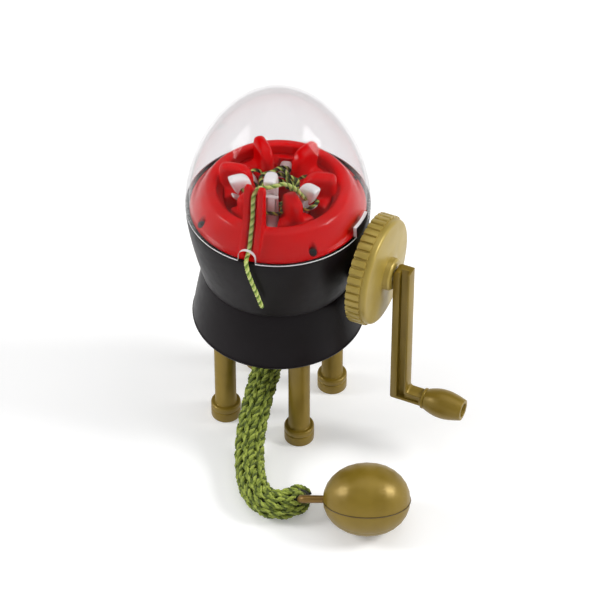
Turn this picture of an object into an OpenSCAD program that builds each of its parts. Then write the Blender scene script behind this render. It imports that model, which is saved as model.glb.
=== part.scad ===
// Hand-cranked i-cord knitting machine: an egg-shaped body on four legs, a clear lift-off dome,
// a ring of latch needles driven by a crank, a knitted cord and the egg weight that pulls it.
// Frame: +Z up, floor at z = 0 under the needle ring's axis, crank shaft along +X, yarn guide near -Y.

/* [Legs] */
// Height of the base's lower edge above the floor
leg_h = 60.5; // [54:0.5:70]
// Radius of a leg's column
leg_r = 5.3; // [4.6:0.1:6]
// Radius of a foot
foot_r = 7.4; // [6.6:0.1:8]
// Height of a foot
foot_h = 9; // [7:0.5:12]
// Radius of the circle on which the legs stand
leg_ring_r = 28.3; // [26.5:0.1:29]

/* [Base] */
// Height of the base from its lower edge to its shoulder
base_h = 30.5; // [28:0.5:36]
// Outer radius of the base at its lower edge
base_foot_r = 42.2; // [41:0.1:44]
// Outer radius of the base at its shoulder
base_top_r = 36.4; // [35.5:0.1:37.5]
// Wall of the base skirt
base_wall = 2.4; // [1.8:0.1:2.8]
// Thickness of the base's deck under the bowl
deck_t = 3; // [2.6:0.1:4]
// Thickness of the closing plate under the base
plate_t = 2.2; // [1.6:0.1:3]
// Radius of the cord's outlet in the closing plate
outlet_r = 12.5; // [11:0.1:14]

/* [Bowl] */
// Outer radius of the bowl at its rim
rim_r = 44; // [43:0.1:45.5]
// Height of the bowl
bowl_h = 39; // [38:0.5:42]
// Outer radius of the bowl at its floor
bowl_floor_r = 36.8; // [36:0.1:37.6]
// Wall of the bowl
bowl_wall = 2; // [1.6:0.1:2.2]
// Thickness of the bowl's floor
bowl_floor_t = 3; // [2.6:0.1:3.4]
// Width of the lug on the rim that keys the dome
key_w = 12.4; // [9:0.1:14]
// Height of the key lug above the rim
key_h = 5.4; // [4:0.1:7]

/* [Dome] */
// Height of the clear dome above the rim
dome_h = 66; // [60:0.5:75]
// Wall of the dome
dome_wall = 1.6; // [1.2:0.1:1.7]
// Width of the yarn notch in the dome's rim
notch_w = 8.5; // [6:0.1:10]
// Height of the yarn notch
notch_h = 7; // [5.5:0.1:9]

/* [Needle cover and cam] */
// Height of the cover's top edge above the rim
cover_h = 12; // [11.5:0.1:14]
// Radius of the cover's mouth
mouth_r = 28.9; // [28.7:0.1:29.5]
// Outer radius of the cover's top edge
crown_edge_r = 34.4; // [33.5:0.1:35.5]
// Inner radius of the cam ring
cam_r = 26; // [25.8:0.1:26.4]
// Wall of the cam ring
cam_wall = 3.8; // [3.4:0.1:4]
// Depth of the cam groove
groove_d = 2.2; // [1.6:0.1:2.4]
// Width of the cam groove
groove_w = 4.6; // [4.4:0.1:5]
// Lift of the needles over one turn
needle_lift = 28; // [26:0.5:28]
// Angle of the cam's highest point
cam_peak_a = 283; // [270:1:296]
// Width of the yarn guide post
guide_w = 9.8; // [9:0.1:12]
// Height of the yarn guide post above the rim
guide_h = 36.6; // [35:0.1:38]
// Width of the yarn channel
channel_w = 3.4; // [3:0.1:4.4]
// Angle of the yarn guide and notch
guide_a = 275; // [272:1:278]

/* [Needle carrier] */
// Number of needles
needle_count = 6; // [6]
// Angle of the first needle
needle_a0 = 45; // [43:1:47]
// Thickness of a needle
needle_t = 6.6; // [6:0.1:6.8]
// Side clearance of a needle in its slot
needle_gap = 0.2; // [0.15:0.05:0.3]
// Thickness of a lobe
lobe_t = 6.4; // [5.6:0.1:6.6]
// Height of the lobes above the rim
lobe_h = 22; // [20:0.5:24]
// Bore of the carrier, through which the cord leaves
cord_bore_r = 7.4; // [7:0.1:7.6]
// Radius of the carrier's journal
journal_r = 12; // [11.5:0.1:12.5]

/* [Drive] */
// Height of the crank shaft above the bowl's floor
shaft_rise = 16.3; // [16:0.1:16.6]
// Radius of the crank shaft
shaft_r = 3; // [2.6:0.1:3.4]
// Teeth of the pinion
pinion_teeth = 10; // [10]
// Teeth of the crown gear
crown_teeth = 46; // [46]
// Pitch radius of the crown gear
crown_r = 32.9; // [32.7:0.1:33]
// Face width of the gears
gear_w = 4.2; // [3.6:0.1:4.4]
// Radius of the hand wheel
wheel_r = 27; // [24:0.1:28]
// Width of the hand wheel's ridged rim
wheel_w = 8; // [6:0.1:9]
// Number of ridges on the hand wheel
ridge_count = 40; // [30:1:48]
// Length of the crank from shaft to grip
crank_l = 75; // [60:0.5:78]
// Width of the crank arm
arm_w = 8.4; // [7.6:0.1:9]
// Thickness of the crank arm
arm_t = 6.4; // [5.6:0.1:8]
// Length of the grip
grip_l = 21; // [18:0.5:26]
// Largest radius of the grip
grip_r = 7.2; // [6.4:0.1:8]

/* [Cord and weight] */
// Radius of the knitted cord
cord_r = 7.7; // [7.5:0.1:7.8]
// Radius of the yarn
yarn_r = 1.05; // [0.9:0.05:1.1]
// Length of the egg weight
egg_l = 42; // [38:0.5:42]
// Radius of the egg weight
egg_r = 17.7; // [17:0.1:17.7]
// Wall of the egg weight
egg_wall = 2; // [1.6:0.1:3]

/* [Hidden] */
$fn = 48;
fit = 0.1;
sole_r = 0.4;
run = 0.06;
clear = 0.3;
screw_r = 1.4;
screw_head_r = 2.5;
screw_head_h = 1.8;
cap_head_r = 1.8;
body_screw_ring = 23;
plate_screw_ring = 32.5;
gear_screw_ring = 20.5;
leg_screw_grip = 7;
plate_screw_grip = 6;
cover_screw_l = 9;
cover_head_z = 4;
gear_screw_l = 9;

base_top_z = leg_h + base_h;
deck_z = base_top_z - deck_t;
floor_top_z = base_top_z + bowl_floor_t;
rim_z = base_top_z + bowl_h;
seat_w = 1.8;
flange_t = 1.8;
ledge_z = rim_z - 2 - flange_t;
cover_z = ledge_z + flange_t;
ledge_t = 2.5;
ledge_w = 8.4;
ledge_r = rim_r - ledge_w;
flange_r = rim_r - seat_w - 0.2;
cover_screw_in = 2.8;
cover_screw_ring = flange_r - cover_screw_in;
cover_screw_a = 49;

shaft_z = base_top_z + shaft_rise;
tooth_m = 2 * crown_r / crown_teeth;
pinion_r = tooth_m * pinion_teeth / 2;
pitch_z = shaft_z - pinion_r;
tooth_up = 0.8 * tooth_m;
tooth_down = 1.1 * tooth_m;
crown_root_z = pitch_z - tooth_down;
gear_in = crown_r - gear_w / 2;
gear_out = crown_r + gear_w / 2;

bush_flange_r = 17;
bush_wall = 2;
cord_hole_r = journal_r + bush_wall + 1.6;
bush_top_z = floor_top_z + 2.1;
hub_z = bush_top_z + fit;
hub_r = 15.9;
drum_z = hub_z + 4.3;
drum_r = cam_r - clear;
drum_top_z = rim_z + 9.4;
journal_end_z = deck_z - 3.5;
core_r = 13;
core_top_z = rim_z + 6;

low_top_z = rim_z + 7.5;
butt_drop = 34.3;
butt_h = 4;
needle_in_r = 13.4;
shank_r = 17.4;
beak_r = 25.2;
beak_drop = 11.5;
latch_r = 16.4;
latch_drop = 17;
latch_l = 8.5;
latch_t = 3;
latch_pin_r = 0.8;
latch_open_a = 12;
latch_closed_a = 131;
open_needle = 5;
cam_sharp = 1.98;
cam_bottom_z = low_top_z - butt_drop - 4;
cam_top_z = low_top_z - butt_drop + needle_lift + 5;

wheel_x = rim_r + 2.5;
wheel_face_x = wheel_x + wheel_w;
boss_r = 8;
arm_x = wheel_face_x + 6.5;
stub_end_x = arm_x + arm_w + 7.6;
stub_h = 6;
arm_top = 5.4;
arm_rib = 3.4;
arm_lip = 1.1;
stub_rib = 1.7;
arm_sink = 2.9;
stub_sink = 0.8;
grip_x = stub_end_x + clear;
grip_z = shaft_z - crank_l;
pin_r = 2;
pin_head_r = 3;
pin_head_t = 2;
pin_recess = 4;
end_pin_l = 2.6;
grip_pin_in = 4.8;
bush_boss_x = rim_r - 0.6;
bush_r = shaft_r + 2;

egg_pos = [74, -60.9, egg_r];
egg_turn = 24;
ballast_end = 5;
ballast_side = 5.7;
ballast_l = egg_l - 2 * (egg_wall + ballast_end);
ballast_r = egg_r - egg_wall - ballast_side;
egg_roll = 23;
hook_r = 1.4;
hook_l = 8;
hook_bend_r = 2.2;
hook_turn = -68;
eye_r = 1.5;
eye_drop = 4.2;

black = "#17161a";
gold = "#8d7a2a";
red = "#d00a14";
white = "#f2f2f2";
green = "#6f9a2c";
steel = "#b8bcc2";

// Points of a circular arc from angle a0 to angle a1
function arc(c, r, a0, a1, n = 6) =
  [for (i = [0 : n]) let (a = a0 + (a1 - a0) * i / n) [c[0] + r * cos(a), c[1] + r * sin(a)]];
// Outer radius of the bowl at height z
function bowl_r(z) = rim_r - (rim_r - bowl_floor_r) * pow(max(0, rim_z - z) / bowl_h, 1.45);
// Outer radius of the base skirt at height z
function skirt_r(z) = base_top_r + (base_foot_r - base_top_r) * pow((base_top_z - z) / base_h, 0.8);
// Radius of an egg-shaped dome of height h at a share t of its height
function dome_r(r, t) = r * pow(max(0, 1 - pow(t, 1.96)), 0.584);
// Angle of needle k, counted from 1
function needle_a(k) = needle_a0 + 60 * (k - 1);
// Share of the lift that the cam gives at angle a
function cam_share(a) = pow((1 + cos(a - cam_peak_a)) / 2, cam_sharp);
// Height of the head of needle k
function needle_top(k) = low_top_z + needle_lift * cam_share(needle_a(k));

// Places copies on a circle
module ring_of(n, r, a0 = 0) {
  for (i = [0 : n - 1]) rotate(a0 + 360 * i / n) translate([r, 0, 0]) children();
}

// Lays an outline of [radius, height] points in the radial plane and gives it a thickness
module radial_plate(points, t) {
  translate([0, t / 2, 0]) rotate([90, 0, 0]) linear_extrude(t) polygon(points);
}

// Turns a shape that stands along +Z so that it lies along +X
module along_x() {
  rotate([0, 90, 0]) children();
}

// Countersunk screw that stands with its head's top at z = 0
module screw(l, head = screw_head_r) {
  translate([0, 0, -screw_head_h]) cylinder(h = screw_head_h, r = head);
  translate([0, 0, -l]) cylinder(h = l - screw_head_h / 2, r = screw_r);
}

module screw_hole(l, head = screw_head_r) {
  translate([0, 0, -screw_head_h - 2 * fit]) cylinder(h = screw_head_h + 20, r = head + fit);
  translate([0, 0, -l - 1]) cylinder(h = l + 1, r = screw_r + fit);
}

module body_shell() {
  steps = [for (i = [0 : 9]) base_top_z + bowl_h * i / 9];
  in_steps = [for (i = [0 : 8]) floor_top_z + (ledge_z - ledge_t - 2 - floor_top_z) * i / 8];
  outer = [for (z = steps) [bowl_r(z), z]];
  inner = [for (z = in_steps) [bowl_r(z) - bowl_wall, z]];
  ledge = [[ledge_r, ledge_z - ledge_t], [ledge_r, ledge_z], [rim_r - seat_w, ledge_z],
    [rim_r - seat_w, rim_z]];
  profile = concat([[journal_r + bush_wall + run + fit, base_top_z]], outer,
    [for (i = [len(ledge) - 1 : -1 : 0]) ledge[i]],
    [for (i = [len(inner) - 1 : -1 : 0]) inner[i]],
    [[journal_r + bush_wall + run + fit, floor_top_z]]);
  boss_in = bowl_r(shaft_z) - bowl_wall - 1.5;
  color(black) difference() {
    union() {
      rotate_extrude($fn = 96) polygon(profile);
      difference() {
        translate([boss_in, 0, shaft_z]) along_x() cylinder(h = bush_boss_x - boss_in, r = boss_r);
        translate([0, 0, floor_top_z]) cylinder(h = bowl_h, r = boss_in);
      }
      intersection() {
        translate([rim_r - 6, -key_w / 2, rim_z - 1]) cube([8, key_w, key_h + 1]);
        difference() {
          cylinder(h = rim_z + key_h, r = rim_r, $fn = 96);
          cylinder(h = rim_z + key_h, r = rim_r - seat_w, $fn = 96);
        }
      }
    }
    translate([boss_in - 1, 0, shaft_z]) along_x() cylinder(h = bush_boss_x, r = bush_r + fit);
    ring_of(4, cover_screw_ring, cover_screw_a)
      translate([0, 0, ledge_z - ledge_t - 3]) cylinder(h = ledge_t + 4, r = screw_r + fit);
    ring_of(4, body_screw_ring) translate([0, 0, base_top_z - 1])
      cylinder(h = bowl_floor_t + 2, r = screw_r + fit);
  }
}

module base_skirt() {
  steps = [for (i = [0 : 8]) base_top_z - (base_h - 2) * i / 8];
  outer = [for (z = steps) [skirt_r(z), z]];
  edge = arc([base_foot_r - 2, leg_h + 2], 2, 0, -90, 4);
  inner = [for (i = [8 : -1 : 0]) let (z = leg_h + (deck_z - leg_h) * (8 - i) / 8)
    [skirt_r(z) - base_wall, z]];
  profile = concat([[cord_hole_r, base_top_z]], outer, edge, inner, [[cord_hole_r, deck_z]]);
  boss_wall = 1.9;
  boss_h = deck_z - leg_h - plate_t + deck_t / 2;
  color(black) difference() {
    union() {
      rotate_extrude($fn = 96) polygon(profile);
      ring_of(4, leg_ring_r, 45) translate([0, 0, leg_h + plate_t])
        cylinder(h = boss_h, r = leg_r + boss_wall);
      ring_of(4, plate_screw_ring) translate([0, 0, leg_h + plate_t])
        cylinder(h = boss_h, r = screw_r + boss_wall - fit);
    }
    ring_of(4, leg_ring_r, 45) {
      translate([0, 0, leg_h]) cylinder(h = deck_z - leg_h, r = leg_r + fit);
      translate([0, 0, base_top_z]) screw_hole(deck_t + leg_screw_grip + 1);
    }
    ring_of(4, plate_screw_ring) translate([0, 0, leg_h])
      cylinder(h = plate_t + plate_screw_grip + 2, r = screw_r + fit);
    ring_of(4, body_screw_ring) translate([0, 0, deck_z - 1]) cylinder(h = deck_t + 2, r = screw_r + fit);
  }
}

module base_plate() {
  plate_r = skirt_r(leg_h + plate_t) - base_wall - fit;
  color(black) difference() {
    union() {
      translate([0, 0, leg_h]) cylinder(h = plate_t, r = plate_r, $fn = 96);
      translate([0, 0, leg_h]) cylinder(h = plate_t + 4, r = outlet_r + 2);
    }
    translate([0, 0, leg_h - 1]) cylinder(h = plate_t + 6, r = outlet_r);
    ring_of(4, leg_ring_r, 45) translate([0, 0, leg_h - 1]) cylinder(h = plate_t + 2, r = leg_r + fit);
    ring_of(4, plate_screw_ring) translate([0, 0, leg_h]) mirror([0, 0, 1]) screw_hole(plate_t + 1);
  }
}

// One leg: a foot with a rounded sole, a groove and a rounded top, and a plain column
module leg() {
  groove_z = foot_h * 0.62;
  profile = concat([[0, 0]], arc([foot_r - sole_r, sole_r], sole_r, -90, 0, 4),
    [[foot_r, groove_z - 0.5], [foot_r - 0.5, groove_z], [foot_r, groove_z + 0.5]],
    arc([foot_r - 1, foot_h - 1], 1, 0, 90, 4),
    [[leg_r + 0.2, foot_h], [leg_r, foot_h + 0.4], [leg_r, deck_z], [0, deck_z]]);
  color(gold) difference() {
    rotate_extrude() polygon(profile);
    translate([0, 0, deck_z - leg_screw_grip - 2]) cylinder(h = leg_screw_grip + 3, r = screw_r + fit);
  }
}

module leg_at(i) {
  rotate(45 + 90 * i) translate([leg_ring_r, 0, 0]) leg();
}
module leg_back_right() { leg_at(0); }
module leg_back_left() { leg_at(1); }
module leg_front_left() { leg_at(2); }
module leg_front_right() { leg_at(3); }

module leg_screws() {
  color(steel) ring_of(4, leg_ring_r, 45) translate([0, 0, base_top_z - fit])
    screw(deck_t + leg_screw_grip);
}

module plate_screws() {
  color(steel) ring_of(4, plate_screw_ring) translate([0, 0, leg_h + fit])
    mirror([0, 0, 1]) screw(plate_t + plate_screw_grip);
}

module body_screws() {
  color(steel) ring_of(4, body_screw_ring)
    translate([0, 0, deck_z - screw_head_h]) mirror([0, 0, 1])
      screw(screw_head_h + deck_t + bowl_floor_t - 0.4);
}

module lower_bush() {
  out_r = journal_r + run + bush_wall;
  color(steel) difference() {
    union() {
      translate([0, 0, floor_top_z]) cylinder(h = bush_top_z - floor_top_z, r = bush_flange_r);
      translate([0, 0, deck_z]) cylinder(h = floor_top_z - deck_z + 1, r = out_r);
    }
    translate([0, 0, deck_z - 1]) cylinder(h = bush_top_z, r = journal_r + run);
  }
}

module shaft_bush() {
  boss_in = bowl_r(shaft_z) - bowl_wall - 1.5;
  color(steel) translate([0, 0, shaft_z]) along_x() difference() {
    union() {
      translate([0, 0, boss_in]) cylinder(h = bush_boss_x - boss_in + 1, r = bush_r);
      translate([0, 0, bush_boss_x]) cylinder(h = 1.6, r = bush_r + 2);
    }
    cylinder(h = rim_r + 10, r = shaft_r + run);
  }
}

// Sleeve with a flange, cut inside by a closed groove that lifts the needles once per turn
module cam_ring() {
  seg = 60;
  span = 360 / seg;
  out_r = cam_r + cam_wall;
  half = groove_w / 2;
  low_z = low_top_z - butt_drop;
  function path_z(i) = low_z + needle_lift * cam_share(span * i);
  corners = [for (i = [0 : seg - 1]) let (a = span * i, z = path_z(i))
    each [[(cam_r - 1) * cos(a), (cam_r - 1) * sin(a), z - half],
      [(cam_r + groove_d) * cos(a), (cam_r + groove_d) * sin(a), z - half],
      [(cam_r + groove_d) * cos(a), (cam_r + groove_d) * sin(a), z + half],
      [(cam_r - 1) * cos(a), (cam_r - 1) * sin(a), z + half]]];
  sides = [for (i = [0 : seg - 1]) for (j = [0 : 3]) let (n = (i + 1) % seg, m = (j + 1) % 4)
    each [[4 * i + j, 4 * i + m, 4 * n + m], [4 * i + j, 4 * n + m, 4 * n + j]]];
  color(red) difference() {
    union() {
      translate([0, 0, cam_bottom_z]) cylinder(h = cam_top_z - cam_bottom_z, r = out_r, $fn = 96);
      translate([0, 0, ledge_z]) cylinder(h = flange_t, r = flange_r, $fn = 96);
    }
    translate([0, 0, cam_bottom_z - 1]) cylinder(h = cam_top_z, r = cam_r, $fn = 96);
    polyhedron(points = corners, faces = sides);
    ring_of(4, cover_screw_ring, cover_screw_a) translate([0, 0, ledge_z - 1])
      cylinder(h = flange_t + 2, r = screw_r + fit);
  }
}

// Red cover over the cam: a conical skirt with a broad rounded edge, and the forked yarn guide post
module needle_cover() {
  top_z = rim_z + cover_h;
  pocket_r = cam_r + cam_wall + 0.2;
  wall = 2.2;
  cone_in = [[flange_r - wall - 0.6, cover_z], [flange_r - wall - 0.8, rim_z - 0.4],
    [crown_edge_r - 0.6, rim_z + 8.2]];
  profile = concat([[pocket_r, cover_z], [pocket_r + wall, cover_z], [pocket_r + wall, rim_z + 8.2]],
    [cone_in[2], cone_in[1], cone_in[0]],
    [[flange_r, cover_z], [flange_r, rim_z + 0.2], [flange_r - 0.6, rim_z + 0.8],
      [flange_r - 1.4, rim_z + 1.1]],
    [[crown_edge_r + 2, rim_z + 8]], arc([crown_edge_r - 1.8, top_z - 3.2], 2.6, 30, 80, 4),
    arc([mouth_r + 1.2, top_z - 1.2], 1.2, 90, 180, 4),
    [[mouth_r, cam_top_z + 0.2], [pocket_r, cam_top_z + 0.2]]);
  tip_z = rim_z + guide_h;
  tip_r = 2.2;
  back_r = mouth_r + 0.1;
  front = [[mouth_r + 5, tip_z - 6], [mouth_r + 6.4, tip_z - 17], [mouth_r + 10, rim_z + 8],
    [flange_r - 0.7, rim_z + 1.6], [flange_r - 0.7, rim_z + 0.4]];
  post = concat([[back_r, top_z - 2]], arc([back_r + tip_r, tip_z - tip_r], tip_r, 180, 60, 6), front,
    [[flange_r - 3, rim_z + 0.4]]);
  depth = 2.1;
  channel = concat([[mouth_r + 2, tip_z + 1], [mouth_r + 2, tip_z - 4]],
    [for (p = [front[0], front[1], front[2]]) [p[0] - depth, p[1]]],
    [[front[3][0] - depth, front[3][1]], [flange_r + 3, rim_z + 1.3], [flange_r + 3, tip_z + 1]]);
  prong = (guide_w - channel_w) / 2;
  fork = concat([[-guide_w / 2, rim_z]],
    [for (s = [-1, 1]) each arc([s * (guide_w - prong) / 2, tip_z - prong / 2], prong / 2, 180, 0, 8)],
    [[guide_w / 2, rim_z]]);
  color(red) difference() {
    union() {
      rotate_extrude($fn = 96) polygon(profile);
      rotate(guide_a) intersection() {
        radial_plate(post, guide_w + 1);
        translate([mouth_r - 2, 0, 0]) rotate([90, 0, 90]) linear_extrude(rim_r - mouth_r) polygon(fork);
      }
    }
    rotate(guide_a) radial_plate(channel, channel_w);
    rotate(guide_a) translate([mouth_r - 2, -eye_r, tip_z - eye_drop]) cube([8, 2 * eye_r, eye_drop + 1]);
    rotate(guide_a) translate([mouth_r - 2, 0, tip_z - eye_drop]) along_x() cylinder(h = 8, r = eye_r);
    ring_of(4, cover_screw_ring, cover_screw_a) translate([0, 0, cover_z + cover_head_z])
      screw_hole(5, cap_head_r);
  }
}

module cover_screws() {
  color(steel) ring_of(4, cover_screw_ring, cover_screw_a) translate([0, 0, cover_z + cover_head_z])
    screw(cover_screw_l, cap_head_r);
}

module dome() {
  steps = [for (i = [0 : 15]) let (u = i / 15) 1 - pow(1 - u, 2)];
  outer = [for (t = steps) [dome_r(rim_r, t), rim_z + dome_h * t]];
  inner = [for (i = [15 : -1 : 0]) let (t = steps[i]) [dome_r(rim_r - dome_wall, t),
    rim_z + (dome_h - dome_wall) * t]];
  color("#dfe6ea", 0.3) difference() {
    rotate_extrude($fn = 96) polygon(concat(outer, inner));
    rotate(guide_a) translate([rim_r - 8, 0, rim_z + notch_h - notch_w / 2]) along_x()
      cylinder(h = 12, r = notch_w / 2);
    rotate(guide_a) translate([rim_r - 8, -notch_w / 2, rim_z - 1])
      cube([12, notch_w, notch_h - notch_w / 2 + 1]);
    translate([rim_r - 8, -key_w / 2 - clear, rim_z - 1])
      cube([12, key_w + 2 * clear, key_h + clear + 1]);
  }
}

// One lobe: a rounded tongue that stands between two needles, shaped by its side, end and plan outlines
module lobe() {
  half = lobe_t / 2;
  edge = half - 0.3;
  in_bend = 9.5;
  out_bend = 3.6;
  top_z = rim_z + lobe_h;
  in_r = core_r - 1.5;
  out_r = mouth_r - 0.7;
  bottom_z = core_top_z - 3;
  shoulder_z = drum_top_z + 1;
  side = concat([[in_r, bottom_z]], arc([in_r + in_bend, top_z - in_bend], in_bend, 180, 90, 8),
    arc([out_r - out_bend, top_z - out_bend], out_bend, 90, 0, 6),
    [[out_r, shoulder_z], [drum_r - 1, shoulder_z], [drum_r - 1, bottom_z]]);
  end = concat(arc([0.35, top_z - edge + 0.05], edge, 0, 90, 6), arc([-0.35, top_z - edge + 0.05],
    edge, 90, 180, 6),
    [[-edge - 0.35, bottom_z - 1], [edge + 0.35, bottom_z - 1]]);
  plan = concat(arc([out_r + 0.05 - half, 0], half, -90, 90, 10), arc([in_r - 0.05 + half, 0], half,
    90, 270, 10));
  intersection() {
    radial_plate(side, lobe_t + 4);
    translate([in_r - 1, 0, 0]) rotate([90, 0, 90]) linear_extrude(out_r - in_r + 2) polygon(end);
    translate([0, 0, bottom_z - 1]) linear_extrude(top_z - bottom_z + 2) polygon(plan);
  }
}

module needle_carrier() {
  slot_w = needle_t + 2 * needle_gap;
  slot_z = drum_z - 0.2;
  color(red) difference() {
    union() {
      translate([0, 0, journal_end_z]) cylinder(h = hub_z - journal_end_z + 1, r = journal_r);
      translate([0, 0, hub_z]) cylinder(h = drum_z - hub_z + 1, r = hub_r);
      translate([0, 0, drum_z]) cylinder(h = drum_top_z - drum_z, r = drum_r, $fn = 96);
      for (k = [1 : needle_count]) rotate(needle_a(k) - 30) lobe();
    }
    for (k = [1 : needle_count]) rotate(needle_a(k))
      translate([core_r, -slot_w / 2, slot_z]) cube([drum_r, slot_w, rim_z]);
    translate([0, 0, core_top_z]) cylinder(h = lobe_h, r = core_r - 2);
    translate([0, 0, core_top_z]) difference() {
      cylinder(h = drum_top_z - core_top_z + 0.01, r = core_r + 6);
      for (k = [1 : needle_count]) rotate(needle_a(k) - 30)
        translate([0, -lobe_t / 2 - 0.4, -1]) cube([drum_r, lobe_t + 0.8, lobe_h]);
    }
    translate([0, 0, journal_end_z - 1]) cylinder(h = rim_z, r = cord_bore_r);
    translate([0, 0, core_top_z - 4]) cylinder(h = 5, r1 = cord_bore_r, r2 = cord_bore_r + 3);
    ring_of(3, gear_screw_ring, needle_a0 + 30) translate([0, 0, hub_z])
      cylinder(h = 10, r = screw_r + fit);
  }
}

// Crown gear: a flat disc under the drum with teeth that stand up at its rim
module crown_gear() {
  step = 360 / crown_teeth;
  half = 0.2 * PI * tooth_m;
  slope = tan(20);
  tip_z = pitch_z + tooth_up;
  disc_z = hub_z + 0.2;
  tooth = [[-half - slope * tooth_down - 0.1, crown_root_z - 0.5], [-half - slope * tooth_down - 0.1,
    crown_root_z],
    [-half + slope * tooth_up, tip_z], [half - slope * tooth_up, tip_z],
    [half + slope * tooth_down + 0.1, crown_root_z], [half + slope * tooth_down + 0.1,
      crown_root_z - 0.5]];
  color(white) difference() {
    union() {
      translate([0, 0, disc_z]) cylinder(h = crown_root_z - disc_z, r = gear_out, $fn = 96);
      translate([0, 0, disc_z]) cylinder(h = drum_z - disc_z, r = drum_r);
      for (i = [0 : crown_teeth - 1]) rotate(step * (i + 0.5))
        translate([gear_in, 0, 0]) rotate([90, 0, 90]) linear_extrude(gear_w) polygon(tooth);
    }
    translate([0, 0, disc_z - 1]) cylinder(h = 10, r = hub_r + fit);
    ring_of(3, gear_screw_ring, needle_a0 + 30) translate([0, 0, disc_z]) mirror([0, 0, 1])
      screw_hole(10);
  }
}

module gear_screws() {
  color(steel) ring_of(3, gear_screw_ring, needle_a0 + 30)
    translate([0, 0, hub_z + 0.3]) mirror([0, 0, 1]) screw(gear_screw_l);
}

// One latch needle, its head's top at z = 0: shank, hooked head, butt, and a slot for the latch
module needle() {
  foot_z = -butt_drop - butt_h / 2;
  shape = concat([[needle_in_r, foot_z], [needle_in_r, -6]],
    arc([needle_in_r + 6, -6], 6, 180, 90, 6),
    arc([beak_r - 1.2, -1.2], 1.2, 90, 0, 3),
    [[shank_r + 3.4, -beak_drop], [shank_r + 2.4, -beak_drop + 0.8]],
    arc([shank_r + 1, -beak_drop + 3.8], 1.3, -20, 160, 6),
    [[shank_r, -beak_drop + 2.6], [shank_r, foot_z + butt_h], [drum_r - 0.1, foot_z + butt_h],
      [drum_r - 0.1, foot_z]]);
  slot_t = latch_t + 0.5;
  color(white) difference() {
    radial_plate(shape, needle_t);
    translate([latch_r - 1.6, -slot_t / 2, -latch_drop - latch_l - 1.6])
      cube([6, slot_t, latch_l + 1.6 + latch_drop - beak_drop]);
    translate([latch_r, needle_t, -latch_drop]) rotate([90, 0, 0])
      cylinder(h = 2 * needle_t, r = latch_pin_r + run);
  }
}

// One latch, hanging straight down from its pivot at the origin, with a pin on each side
module latch() {
  blade = concat(arc([0, 0], 1.2, 0, 180, 8), [[-0.55, -latch_l + 0.6]],
    arc([0, -latch_l + 0.55], 0.55, 180, 360, 4));
  color(white) {
    radial_plate(blade, latch_t);
    translate([0, needle_t / 2 - 0.3, 0]) rotate([90, 0, 0])
      cylinder(h = needle_t - 0.6, r = latch_pin_r);
  }
}

module needle_at(k) {
  rotate(needle_a(k)) translate([0, 0, needle_top(k)]) needle();
}

module latch_at(k) {
  swing = k == open_needle ? latch_open_a : latch_closed_a;
  rotate(needle_a(k)) translate([latch_r, 0, needle_top(k) - latch_drop]) rotate([0, -swing, 0]) latch();
}

module needle_1() { needle_at(1); }
module needle_2() { needle_at(2); }
module needle_3() { needle_at(3); }
module needle_4() { needle_at(4); }
module needle_5() { needle_at(5); }
module needle_6() { needle_at(6); }
module latch_1() { latch_at(1); }
module latch_2() { latch_at(2); }
module latch_3() { latch_at(3); }
module latch_4() { latch_at(4); }
module latch_5() { latch_at(5); }
module latch_6() { latch_at(6); }

// Hand wheel: broad ridges that end short of its plain edge, a gently domed face, a boss for the arm,
// and a hub behind
module drive_wheel() {
  step = 360 / ridge_count;
  root = wheel_r - 1;
  ridge_end = 1.2;
  rim = [for (i = [0 : ridge_count - 1])
    each [for (p = [[-0.4, root], [-0.32, wheel_r], [0.32, wheel_r], [0.4, root]])
      [p[1] * cos(step * (i + p[0])), p[1] * sin(step * (i + p[0]))]]];
  face = concat([[shaft_r + fit, wheel_w - 2.6]],
    [[root - 3, wheel_w - 2.6], [root - 1, wheel_w - 3.6], [root - 0.5, wheel_w - 3.6]],
    [[root, wheel_w]], arc([root - 2, wheel_w], 2, 30, 80, 3),
    [[boss_r + 4, wheel_w + 2.7], [boss_r, wheel_w + 2.9], [boss_r, wheel_w + 5.4]],
    [[boss_r - 0.8, wheel_w + 6.2], [shaft_r + fit, wheel_w + 6.2]]);
  color(gold) translate([wheel_x, 0, shaft_z]) along_x() {
    difference() {
      linear_extrude(wheel_w - ridge_end) polygon(rim);
      translate([0, 0, -1]) cylinder(h = wheel_w - 1.6, r = root - 3, $fn = 96);
      translate([0, 0, -1]) cylinder(h = wheel_w + 8, r = boss_r - 1);
    }
    rotate_extrude($fn = 96) polygon(face);
    difference() {
      cylinder(h = wheel_w - 2, r = boss_r - 1);
      translate([0, 0, -1]) cylinder(h = wheel_w + 2, r = shaft_r + fit);
    }
  }
}

module crank_shaft() {
  start_x = gear_in - 0.6;
  color(steel) translate([0, 0, shaft_z]) along_x() {
    translate([0, 0, start_x]) cylinder(h = arm_x - clear - start_x, r = shaft_r);
    translate([0, 0, arm_x - 1]) cylinder(h = end_pin_l + 1, r = pin_r);
  }
}

module drive_pinion() {
  half_root = 0.27 * PI * tooth_m;
  half_pitch = 0.18 * PI * tooth_m;
  half_tip = 0.07 * PI * tooth_m;
  root = pinion_r - tooth_down;
  tip = pinion_r + tooth_up;
  tooth = [[root - 0.6, -half_root], [pinion_r, -half_pitch], [tip, -half_tip],
    [tip, half_tip], [pinion_r, half_pitch], [root - 0.6, half_root]];
  color(white) translate([gear_in, 0, shaft_z]) along_x() difference() {
    union() {
      cylinder(h = gear_w, r = root);
      for (i = [0 : pinion_teeth - 1]) rotate(360 / pinion_teeth * i)
        linear_extrude(gear_w) polygon(tooth);
    }
    translate([0, 0, -1]) cylinder(h = gear_w + 2, r = shaft_r + fit);
  }
}

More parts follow.
